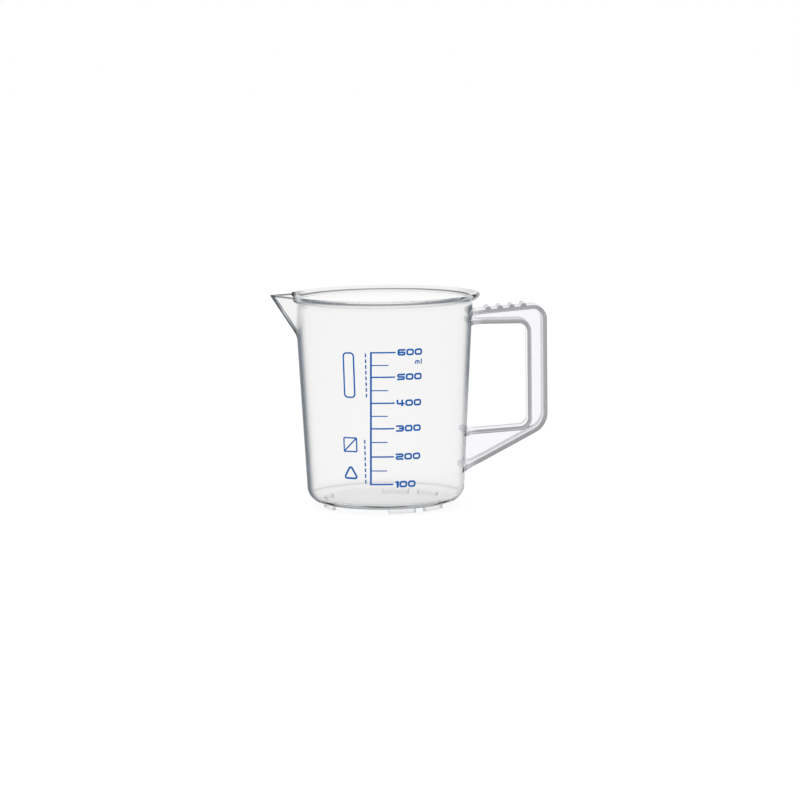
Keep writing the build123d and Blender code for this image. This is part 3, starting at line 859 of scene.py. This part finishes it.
def add_painted_shade(material, shader, colour):
    """Painted shade: a darker colour where the mark on the points is set, at thick edges, lines, ends and
    the handle's sides.
    """
    nodes, links = material.node_tree.nodes, material.node_tree.links
    mark = nodes.new("ShaderNodeAttribute")
    mark.attribute_name = "painted_shade_mark"
    mix = nodes.new("ShaderNodeMix")
    mix.data_type = "RGBA"
    tint = shader.inputs["Base Color"].links[0].from_socket
    links.new(mark.outputs["Fac"], mix.inputs["Factor"])
    links.new(tint, mix.inputs["A"])
    mix.inputs["B"].default_value = (*colour, 1)
    links.new(mix.outputs["Result"], shader.inputs["Base Color"])


def printed_ink():
    """Opaque blue screen ink with slightly uneven cover."""
    material, shader, _ = new_material("blue_screen_ink")
    links, nodes = material.node_tree.links, material.node_tree.nodes
    cover = object_noise(material, 2500, 3.0)
    colour = nodes.new("ShaderNodeValToRGB")
    colour.color_ramp.elements[0].position = 0.3
    colour.color_ramp.elements[0].color = (0.0006, 0.086, 0.33, 1)
    colour.color_ramp.elements[1].position = 0.7
    colour.color_ramp.elements[1].color = (0.001, 0.112, 0.42, 1)
    links.new(cover.outputs["Fac"], colour.inputs["Fac"])
    links.new(colour.outputs["Color"], shader.inputs["Base Color"])
    links.new(ramp_value(material, cover.outputs["Fac"], 0.45, 0.6), shader.inputs["Roughness"])
    shader.inputs["Specular IOR Level"].default_value = 0.08
    add_bump(material, shader, cover.outputs["Fac"], 0.15, 0.00005)
    return material


def floor_material():
    """Plain white studio floor."""
    material, shader, _ = new_material("studio_floor")
    shader.inputs["Base Color"].default_value = (0.22, 0.22, 0.22, 1)
    shader.inputs["Emission Color"].default_value = (1, 1, 1, 1)
    shader.inputs["Emission Strength"].default_value = 0.80
    shader.inputs["Roughness"].default_value = 0.9
    shader.inputs["Specular IOR Level"].default_value = 0.1
    return material


# ---------------------------------------------------------------- studio

CAMERA_AZIMUTH = radians(-3)
CAMERA_ELEVATION = 0.1226
CAMERA_DISTANCE = 2.1338
CAMERA_ROLL = 0.0115
CAMERA_LENS = 165.13
AIM = Vector((8.838, 0, 61.41)) * MM
FLOOR_HALF_SIZE = 6.0
LIGHT_AIM = Vector((0, 0, 0.06))


def make_camera():
    """Camera at the product view: a long lens, slightly above the rim."""
    data = bpy.data.cameras.new("camera")
    data.sensor_width = 36
    data.lens = CAMERA_LENS
    data.clip_end = 50
    camera = bpy.data.objects.new("camera", data)
    turn = Matrix.Rotation(CAMERA_AZIMUTH, 3, "Z")
    forward = turn @ Vector((0, cos(CAMERA_ELEVATION), -sin(CAMERA_ELEVATION)))
    up = turn @ Vector((0, sin(CAMERA_ELEVATION), cos(CAMERA_ELEVATION)))
    right = turn @ Vector((1, 0, 0))
    x_axis = right * cos(CAMERA_ROLL) - up * sin(CAMERA_ROLL)
    y_axis = right * sin(CAMERA_ROLL) + up * cos(CAMERA_ROLL)
    axes = Matrix((x_axis, y_axis, -forward)).transposed()
    camera.matrix_world = Matrix.Translation(turn @ AIM - forward * CAMERA_DISTANCE) @ axes.to_4x4()
    bpy.context.scene.collection.objects.link(camera)
    bpy.context.scene.camera = camera


def make_floor():
    """Wide pale floor in the plane of the feet."""
    mesh = bpy.data.meshes.new("studio_floor")
    sides = ((-1, -1), (1, -1), (1, 1), (-1, 1))
    corners = [(x * FLOOR_HALF_SIZE, y * FLOOR_HALF_SIZE, 0) for x, y in sides]
    mesh.from_pydata(corners, [], [(0, 1, 2, 3)])
    mesh.materials.append(floor_material())
    floor = bpy.data.objects.new("studio_floor", mesh)
    bpy.context.scene.collection.objects.link(floor)


def make_world():
    """Even white surroundings."""
    world = bpy.data.worlds.new("studio")
    world.use_nodes = True
    background = world.node_tree.nodes["Background"]
    background.inputs["Color"].default_value = (1, 1, 1, 1)
    background.inputs["Strength"].default_value = 1.0
    bpy.context.scene.world = world


def soft_light(name, place, size, power):
    """Square area light that faces the vessel."""
    data = bpy.data.lights.new(name, "AREA")
    data.size = size
    data.energy = power
    light = bpy.data.objects.new(name, data)
    light.location = place
    towards = LIGHT_AIM - Vector(place)
    light.rotation_euler = towards.to_track_quat("-Z", "Y").to_euler()
    bpy.context.scene.collection.objects.link(light)


# ---------------------------------------------------------------- build

vessel_plastic, vessel_shader = clear_plastic(
    "clear_polypropylene", VESSEL_EDGE_SHADE, CLEAR_VESSEL,
    absorb_colour=(0.56, 0.59, 0.62), absorb_density=22.0, ior=1.05, roughness=0.02, ripple=0.02,
)
add_painted_shade(vessel_plastic, vessel_shader, VESSEL_SHADE_COLOUR)
handle_plastic, handle_shader = clear_plastic(
    "handle_polypropylene", HANDLE_EDGE_SHADE, CLEAR_HANDLE,
    absorb_colour=(0.52, 0.53, 0.55), absorb_density=12.0, ior=1.06, roughness=0.03, ripple=0.04,
)
add_painted_shade(handle_plastic, handle_shader, HANDLE_SHADE_COLOUR)
ink = printed_ink()

points, faces, marks = vessel_mesh()
vessel = make_piece("beaker_vessel", points, faces, vessel_plastic, 40)
set_marks(vessel, marks)
fix_normals(vessel)
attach(vessel, "root")
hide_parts("vessel_wall", "base_corner", "floor_disc", "pouring_rim", "spout")
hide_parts(*[f"foot_{i}" for i in range(1, 7)])

points, faces, marks = handle_mesh()
handle = make_piece("beaker_handle", points, faces, handle_plastic, 35)
set_marks(handle, marks)
fix_normals(handle)
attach(handle, "root")
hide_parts("handle_outer_rail", "handle_inner_rail", "handle_web")
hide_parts(*[node for node in frame["nodes"] if node.startswith(("handle_root", "thumb_rib"))])

for part in frame["record"]["subparts"]:
    if part["material_slot"] == "blue_ink":
        mesh = frame["nodes"][part["node"]].data
        mesh.materials.clear()
        mesh.materials.append(ink)

make_floor()
make_world()
make_camera()
soft_light("key_softbox", place=(-0.9, -0.9, 1.2), size=0.8, power=6)
bpy.context.scene.view_settings.view_transform = "Standard"
